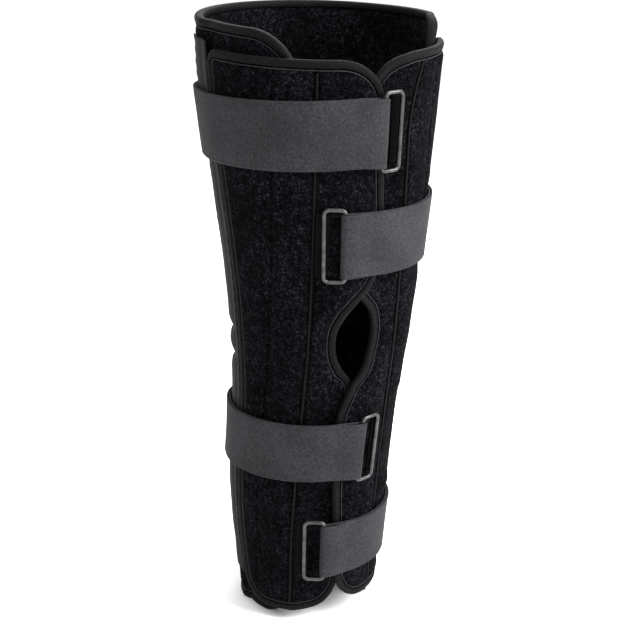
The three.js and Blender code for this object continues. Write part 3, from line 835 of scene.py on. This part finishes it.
def make_edge_roll(name, panel):
    """The fine roll of cloth that the binding's stitching pushes up beside it. Its cloth is coloured
    lighter than the binding's, a painted highlight along its crest.
    """
    sections = []
    for angle in TUBE_ANGLES:
        rim_a, rim_z = panel_rim(panel, ROLL_INSET + ROLL_HALF * math.cos(angle))
        sections.append(on_panel(panel, rim_a, rim_z, ROLL_RISE + ROLL_HALF * math.sin(angle)))
    corners = np.stack(sections, 1)
    length = run_length(np.stack(panel_rim(panel, ROLL_INSET), -1))
    flat = np.stack(np.broadcast_arrays(length[:, None], np.arange(TUBE_SIDES) * ROLL_SIDE), -1)
    faces = loop_faces(len(corners), TUBE_SIDES, True)
    make_piece(name + "_roll", corners, faces, ROLL_WITH_PAINTED_HIGHLIGHT, flat=flat)


def make_panel(name, panel):
    """A panel's padded cloth. It comes first, as it sets the panel's column counts."""
    grid_of(panel, 0)
    a, z = grid_of(panel, BINDING_WIDTH - BINDING_LAP)
    distance = edge_distance(panel, a, z)
    ground = on_panel(panel, a, z, 0)
    waves = soft_waves(ground, *PANEL_WAVES)
    waves *= smooth((distance - BINDING_WIDTH) / PANEL_WAVE_FADE)
    relief = seam_relief(panel, a, z, distance) + edge_relief(distance) + waves
    outer = on_panel(panel, a, z, relief)
    inner_edge = INNER_FALL * (1 - smooth((distance - BINDING_WIDTH) / INNER_FADE))
    inner = on_panel(panel, a, z, -panel["foam"] + inner_edge + PANEL_WAVE_INSIDE * waves)
    piece = make_shell(name + "_cloth", outer, inner, np.stack([a, z], -1), PILE, name)


# The folded tape's section: how far in from the edge as a share of its width, and how far above the
# panel's outer side or, in the second table, below its inner side
TAPE_OUTSIDE = [
    (1.0, -0.25), (0.93, 0.12), (0.8, 0.02), (0.66, 0.42), (0.48, 0.52), (0.3, 0.4), (0.14, -0.05),
    (0.03, -0.9),
]
TAPE_INSIDE = [(0.03, -0.9), (0.14, -0.05), (0.3, 0.4), (0.5, 0.5), (0.78, 0.3), (1.0, -0.25)]


def make_binding(name, panel):
    """The folded tape round a panel's edge, a little rippled."""
    foam = panel["foam"]
    profile = TAPE_OUTSIDE + [(0.0, -foam / 2)] + [(share, -foam - below) for share, below in TAPE_INSIDE]
    rims = [panel_rim(panel, share * BINDING_WIDTH) for share, _ in profile]
    points = on_panel(panel, *rims[len(TAPE_OUTSIDE) // 2], 0)
    length = run_length(points)
    ripple = puckers(length, *RIPPLES)
    ripple += soft_waves(points, *BINDING_WAVES)
    sections = []
    flats = []
    for (share, rise), (rim_a, rim_z) in zip(profile, rims):
        # The ripple is on the outside only, and weaker at the fold
        swell = ripple * (1 if rise > -foam / 2 else 0) * (1 if share > 0.1 else 0.3)
        sections.append(on_panel(panel, rim_a, rim_z, rise + swell))
        flats.append(np.stack([length, np.full_like(length, (share + rise) * BINDING_WIDTH)], -1))
    corners = np.stack(sections, 1)
    faces = loop_faces(len(corners), len(profile), True)
    make_piece(name + "_tape", corners, faces, BINDING, [name], flat=np.stack(flats, 1))


def panel_stitches(name, panel):
    """Stitches along a panel's binding, down both sides of its cords and along its plain seams."""
    rims = panel_rim(panel, BINDING_STITCH_PLACE * BINDING_WIDTH)
    rim_a, rim_z = (np.append(rim, rim[0]) for rim in rims)
    rows = [line_on_panel(panel, rim_a, rim_z, BINDING_STITCH_RISE)]
    make_stitches(name + "_binding_stitches", rows, THREAD)
    rows = []
    for place_of_seam, piped in panel["seams"]:
        for off in (-STITCHES_BESIDE, STITCHES_BESIDE) if piped else (0.0,):
            z = seam_line(panel, place_of_seam + off, SEAM_STITCH_MARGIN)
            a = seam_place(panel, place_of_seam, z) + off
            rows.append(line_on_panel(panel, a, z, SEAM_STITCH_RISE))
    if rows:
        make_stitches(name + "_seam_stitches", rows, THREAD)


# Rear tapes
TAPE_COLUMNS = 34
TAPE_ROW_STEP = 2.0
TAPE_STITCH_COLUMNS = (2, -3)
TAPE_PROUD = 0.35  # how far a tape stands out of the side panel
TAPE_PUCKERS = (0.3, 8.5, 2.5, 31)
TAPE_PUCKER_REACH = 3.5
TAPE_HEM_FORMS = [(-0.3, 2.2, 0.6)]
TAPE_WAVES = (0.35, 26.0)
TAPE_WAVE_LOWEST = -0.2


def make_tape(name, side, top):
    """The wide tape from a side panel's rear edge onto the back panel, sewn down both sides."""
    z = np.arange(TAPE_BOTTOM, top + 0.1, TAPE_ROW_STEP)[:, None]
    share = np.linspace(0, 1, TAPE_COLUMNS)[None, :]
    start = math.radians(SIDE_REAR_ANGLE) + CLEARANCE / radius(z)
    angle = start + share * TAPE_WIDTH / radius(z)
    on_side = -TAPE_THICKNESS + TAPE_PROUD
    degrees = np.degrees(angle)
    on_back = back_angle_rise(angle, z) + CLEARANCE
    step = smooth((degrees - STEP_START + 1) / (STEP_WIDTH + 1))
    rest = np.where(degrees > STEP_START + STEP_WIDTH, on_back, on_side + (on_back - on_side) * step)
    ground = place(side * angle, z, rest)
    edge = np.minimum(share, 1 - share) * TAPE_WIDTH
    pucker = puckers(z, *TAPE_PUCKERS) * hill(edge, 0, TAPE_PUCKER_REACH)
    sewn = hem(TAPE_HEM_FORMS, edge)
    waves = soft_waves(ground, *TAPE_WAVES)
    lift = np.maximum(pucker + waves, TAPE_WAVE_LOWEST)
    outer = place(side * angle, z, rest + TAPE_THICKNESS + sewn + lift)
    inner = place(side * angle, z, rest + lift * 0.5)
    flat = np.stack(np.broadcast_arrays(share * TAPE_WIDTH, z), -1)
    piece = make_shell(name + "_cloth", outer, inner, flat, TAPE, name)
    out = outwards(side * angle)
    lines = [(outer[:, column], out[:, column]) for column in TAPE_STITCH_COLUMNS]
    make_stitches(name + "_stitches", lines, GREY_THREAD)


# Straps, rings and tabs. Places across a strap are shares of half its width, and a tab's are millimetres
# from its edge.
HEM = np.array([-1, -0.985, -0.955, -0.925, -0.9, -0.875, -0.85])
HEM_FULLNESS = np.array([0.45, 0.85, 1, 1, 1, 1, 1])  # share of the thickness at each of these
HEM_FORMS = [(0.14, 0.95, 0.025), (-0.2, 0.9, 0.018)]
MIDDLE_REACH = 0.8
MIDDLE_COLUMNS = 17
STRAP_WAVES = (0.22, 30.0)
STRAP_WAVE_LOWEST = -0.1
STRAP_STEP = 1.5  # degrees
STRAP_TURN = 9  # degrees, round the ring's bar
OUTER_RAMP = 22.0  # how far from the ring the outer ply comes down to the inner one
INNER_RAMP = 9.0  # and the inner ply comes down to the panels
WIRE_SIDES = 14
WIRE_TURN = 9  # degrees, round a ring's corner
TAB_COLUMNS = 12
TAB_ROWS = 60
TAB_HEM_FORMS = [(0.12, 0.9, 0.5), (-0.2, 0, 0.35)]
TAB_STITCH_INSET = 1.6
TAB_STITCH_MARGIN = 1.5
TAB_STITCH_RISE = 0.1


def polar(point, z):
    """A point's angle round the leg and its rise, at its height."""
    x = point[0] - float(lean(z))
    y = -(point[1] - float(set_back(z)))
    return math.atan2(x, y), math.hypot(x, y) - float(radius(z))


def bar_of(strap, side):
    """Angle and rise of the middle of a ring's bar on that side of the ring."""
    origin, across, _, _ = ring_frame(strap)
    return polar(origin + across * side * (RING_WIDTH - RING_WIRE) / 2, strap["middle"])


def fold_path(strap, side, reach):
    """A half turn round a bar of the ring, from its top over its inner side to its bottom."""
    r = float(radius(strap["middle"]))
    angle, rise = bar_of(strap, side)
    turns = np.radians(np.arange(90, 270.1, STRAP_TURN))
    return angle + side * reach * np.cos(turns) / r, rise + reach * np.sin(turns)


def strap_band(node, strap, angle, rise, level):
    """A strap's webbing along a path round the leg, given by angle, rise and height, and its length."""
    r = float(radius(strap["middle"]))
    half = strap["half"]
    ds, dh = np.gradient(angle * r), np.gradient(rise)
    size = np.hypot(ds, dh)
    normal_s, normal_h = -dh / size, ds / size
    length = run_length(np.stack([angle * r, rise], -1))
    middle = np.linspace(-MIDDLE_REACH, MIDDLE_REACH, MIDDLE_COLUMNS)
    across = np.concatenate([HEM, middle, -HEM[::-1]])
    full = np.concatenate([HEM_FULLNESS, np.ones_like(middle), HEM_FULLNESS[::-1]])
    selvedge = hem(HEM_FORMS, np.abs(across))
    sections = []
    flats = []
    ground = place(angle[:, None], level[:, None] + across * half, rise[:, None])
    waves = soft_waves(ground, *STRAP_WAVES)
    for side, order in ((1, slice(None)), (-1, slice(None, None, -1))):
        offset = side * (full * STRAP_THICKNESS / 2 + selvedge)[order]
        wave = waves[:, order]
        turned = angle[:, None] + normal_s[:, None] * offset / r
        raised = rise[:, None] + normal_h[:, None] * offset + np.maximum(wave, STRAP_WAVE_LOWEST)
        sections.append(place(turned, level[:, None] + across[order] * half, raised))
        flats.append(np.stack(np.broadcast_arrays(length[:, None], across[order] * half), -1))
    corners = np.concatenate(sections, 1)
    flat = np.concatenate(flats, 1)
    count, sides = corners.shape[:2]
    faces = loop_faces(count, sides, False)
    lane = sides // 2
    # Each end is closed by quads from the outer side to the inner one
    caps = []
    for first in (0, (count - 1) * sides):
        for m in range(lane - 1):
            cap = [first + m, first + m + 1, first + sides - 2 - m, first + sides - 1 - m]
            caps.append(cap if first else cap[::-1])
    piece = make_piece(node + "_webbing", corners, faces, WEBBING, [node], flat=flat, caps=caps)
    return piece, length[-1]


def seat(strap, degrees):
    """A strap's rise above the panels where its inner ply rests on them."""
    turned = np.abs(np.degrees(np.arctan2(np.sin(np.radians(degrees)), np.cos(np.radians(degrees)))))
    past = np.radians(turned - SIDE_REAR_ANGLE) * float(radius(strap["middle"]))
    return along(STRAP_SEAT, "past", "rise", past)


def make_strap(index, strap):
    """A strap from its free end on the outside, round its ring's bar and back under itself."""
    heading = strap["heading"]
    r = float(radius(strap["middle"]))
    reach = RING_WIRE / 2 + CLEARANCE + STRAP_THICKNESS / 2
    fold_angle, fold_rise = fold_path(strap, heading, reach)
    bar, bar_rise = bar_of(strap, heading)
    start = heading * math.degrees(bar)
    tail_end = 180 - TAIL_ANGLE
    fixed_end = 180 + TAIL_ANGLE / 2
    first = start + STRAP_STEP * 0.7  # just past the fold
    outer = np.arange(first, tail_end, STRAP_STEP)
    beyond = np.radians(outer - start) * r
    outer_rise = seat(strap, outer) + STRAP_THICKNESS + PLY_GAP
    outer_rise += (bar_rise + reach - outer_rise) * (1 - smooth(beyond / OUTER_RAMP))
    inner = np.arange(first, fixed_end, STRAP_STEP)
    beyond = np.radians(inner - start) * r
    inner_rise = seat(strap, inner)
    inner_rise += (bar_rise - reach - inner_rise) * (1 - smooth(beyond / INNER_RAMP))
    angle = np.concatenate([heading * np.radians(outer[::-1]), fold_angle, heading * np.radians(inner)])
    rise = np.concatenate([outer_rise[::-1], fold_rise, inner_rise])
    around = np.clip(np.abs(np.degrees(angle)), 0, 180)
    level = strap["middle"] - strap["drop"] * np.sin(np.radians(around / 2))
    piece, length = strap_band(f"strap_{index}", strap, angle, rise, level)


def make_ring(index, strap):
    """A ring of wire with rounded corners."""
    origin, across, up, out = ring_frame(strap)
    wide = (RING_WIDTH - RING_WIRE) / 2
    high = strap["half"] + RING_SLACK + RING_WIRE / 2
    sections = []
    for sx, sy, start in ((1, 1, 0), (-1, 1, 90), (-1, -1, 180), (1, -1, 270)):
        for turn in range(0, 91, WIRE_TURN):
            direction = math.radians(start + turn)
            x = sx * (wide - RING_BEND) + RING_BEND * math.cos(direction)
            y = sy * (high - RING_BEND) + RING_BEND * math.sin(direction)
            section = []
            for m in range(WIRE_SIDES):
                reach = RING_WIRE / 2 * math.cos(2 * math.pi * m / WIRE_SIDES)
                lift = RING_WIRE / 2 * math.sin(2 * math.pi * m / WIRE_SIDES)
                px = x + reach * math.cos(direction)
                py = y + reach * math.sin(direction)
                section.append(origin + SHIFT + across * px + up * py + out * lift)
            sections.append(section)
    corners = np.array(sections)
    faces = loop_faces(len(sections), WIRE_SIDES, True)
    make_piece(f"ring_{index}_wire", corners, faces, WIRE, [f"ring_{index}"])


def make_tab(index, strap):
    """A ring's flat tab, from where it is sewn down to under the ring's free bar."""
    side = -strap["heading"]
    name, panel = ("left_panel", LEFT) if side < 0 else ("right_panel", RIGHT)
    half = strap["half"]
    sewn = strap["ring"] + side * (RING_WIDTH / 2 + TAB_SEWN)
    free = strap["ring"] + side * TAB_FREE
    a = np.linspace(sewn, free, TAB_COLUMNS)[:, None]
    z = strap["middle"] + np.linspace(-half, half, TAB_ROWS)[None, :]
    a, z = np.broadcast_arrays(a, z)
    edge = np.minimum(half - np.abs(z - strap["middle"]), np.abs(a - sewn))
    outer = on_panel(panel, a, z, 2 * CLEARANCE + TAB_THICKNESS + hem(TAB_HEM_FORMS, edge))
    inner = on_panel(panel, a, z, 2 * CLEARANCE)
    node = f"ring_tab_{index}"
    piece = make_shell(node + "_webbing", outer, inner, np.stack([a, z], -1), TAB_CLOTH, node)
    ends = half - TAB_STITCH_MARGIN
    along_z = np.linspace(-ends, ends, 20) + strap["middle"]
    where = np.full_like(along_z, sewn - side * TAB_STITCH_INSET)
    line = line_on_panel(panel, where, along_z, 2 * CLEARANCE + TAB_THICKNESS + TAB_STITCH_RISE)
    make_stitches(node + "_stitches", [line], THREAD)


# Studio. The camera's angles are in degrees, and its distance and aim in millimetres.
CAMERA_AZIMUTH = -21.0
CAMERA_PITCH = 19.5
CAMERA_ROLL = 1.5
CAMERA_DISTANCE = 1100.0
CAMERA_AIM_HEIGHT = 245.0
CAMERA_LENS = 82.4
CAMERA_SENSOR = 36
CAMERA_NEAR = 0.01
LIGHT_AIM_HEIGHT = 0.25
FLOOR_REACH = 12.0
# Name, azimuth and elevation in degrees, distance and size in metres, and power in watts
LIGHTS = [
    ("key", 48, 32, 1.6, 0.9, 47),
    ("fill", -40, 35, 1.8, 1.2, 3),
    ("top", 0, 80, 1.6, 1.2, 12),
    ("rear", 150, 40, 1.8, 1.0, 14),
]


def make_camera():
    """The camera that the photo was matched with."""
    azimuth, pitch, roll = (math.radians(v) for v in (CAMERA_AZIMUTH, CAMERA_PITCH, CAMERA_ROLL))
    right = Vector((math.cos(azimuth), math.sin(azimuth), 0))
    flat = Vector((-math.sin(azimuth), math.cos(azimuth), 0))
    forward = flat * math.cos(pitch) - Vector((0, 0, math.sin(pitch)))
    up = right.cross(forward)
    rolled_right = right * math.cos(roll) + up * math.sin(roll)
    rolled_up = up * math.cos(roll) - right * math.sin(roll)
    aim = Vector(SHIFT) + Vector((0, 0, CAMERA_AIM_HEIGHT))
    where = (aim - forward * CAMERA_DISTANCE / math.cos(pitch)) * MM
    data = bpy.data.cameras.new("camera")
    data.lens = CAMERA_LENS
    data.sensor_width = CAMERA_SENSOR
    data.clip_start = CAMERA_NEAR
    camera = bpy.data.objects.new("camera", data)
    turn = Matrix((rolled_right, rolled_up, -forward)).transposed().to_4x4()
    camera.matrix_world = Matrix.Translation(where) @ turn
    bpy.context.scene.collection.objects.link(camera)
    bpy.context.scene.camera = camera


def add_light(name, azimuth, elevation, distance, size, power):
    """A soft light aimed at the brace. Its azimuth is counted from the front."""
    a, e = math.radians(azimuth), math.radians(elevation)
    where = Vector((math.sin(a) * math.cos(e), -math.cos(a) * math.cos(e), math.sin(e))) * distance
    where.z += LIGHT_AIM_HEIGHT
    data = bpy.data.lights.new(name, "AREA")
    data.size = size
    data.energy = power
    light = bpy.data.objects.new(name, data)
    light.location = where
    light.rotation_euler = (Vector((0, 0, LIGHT_AIM_HEIGHT)) - where).to_track_quat("-Z", "Y").to_euler()
    bpy.context.scene.collection.objects.link(light)


def make_studio():
    """Floor, white surroundings and lights."""
    mesh = bpy.data.meshes.new("floor")
    corners = [(FLOOR_REACH * x, FLOOR_REACH * y, 0) for x, y in ((-1, -1), (1, -1), (1, 1), (-1, 1))]
    mesh.from_pydata(corners, [], [(0, 1, 2, 3)])
    floor = bpy.data.objects.new("floor", mesh)
    bpy.context.scene.collection.objects.link(floor)
    material, tree, shader = new_material("pale_floor", 0.9, specular=0.1)
    vector = object_vector(tree)
    tone = ramp_node(tree, noise_node(tree, vector, 400.0, 2.0), [(0.3, grey(0.97)), (0.7, grey(0.99))])
    tree.links.new(tone, shader.inputs["Base Color"])
    mesh.materials.append(material)
    world = bpy.data.worlds.new("studio")
    world.use_nodes = True
    world.node_tree.nodes["Background"].inputs["Color"].default_value = (1, 1, 1, 1)
    world.node_tree.nodes["Background"].inputs["Strength"].default_value = 1.0
    bpy.context.scene.world = world
    for light in LIGHTS:
        add_light(*light)
    bpy.context.scene.view_settings.view_transform = "Standard"


make_camera()
make_studio()
for panel_name, panel_form, fill in (("back", BACK, 0.7), ("left", LEFT, 0.75), ("right", RIGHT, 0.75)):
    make_panel(panel_name + "_panel", panel_form)
    make_binding(panel_name + "_binding", panel_form)
    make_edge_roll(panel_name + "_edge", panel_form)
    make_seam_cord(panel_name + "_seam", panel_form)
    panel_stitches(panel_name, panel_form)
make_tape("left_rear_tape", -1, LEFT_TAPE_TOP)
make_tape("right_rear_tape", 1, RIGHT_TAPE_TOP)
for number, strap_form in enumerate(STRAPS, 1):
    make_strap(number, strap_form)
    make_ring(number, strap_form)
    make_tab(number, strap_form)
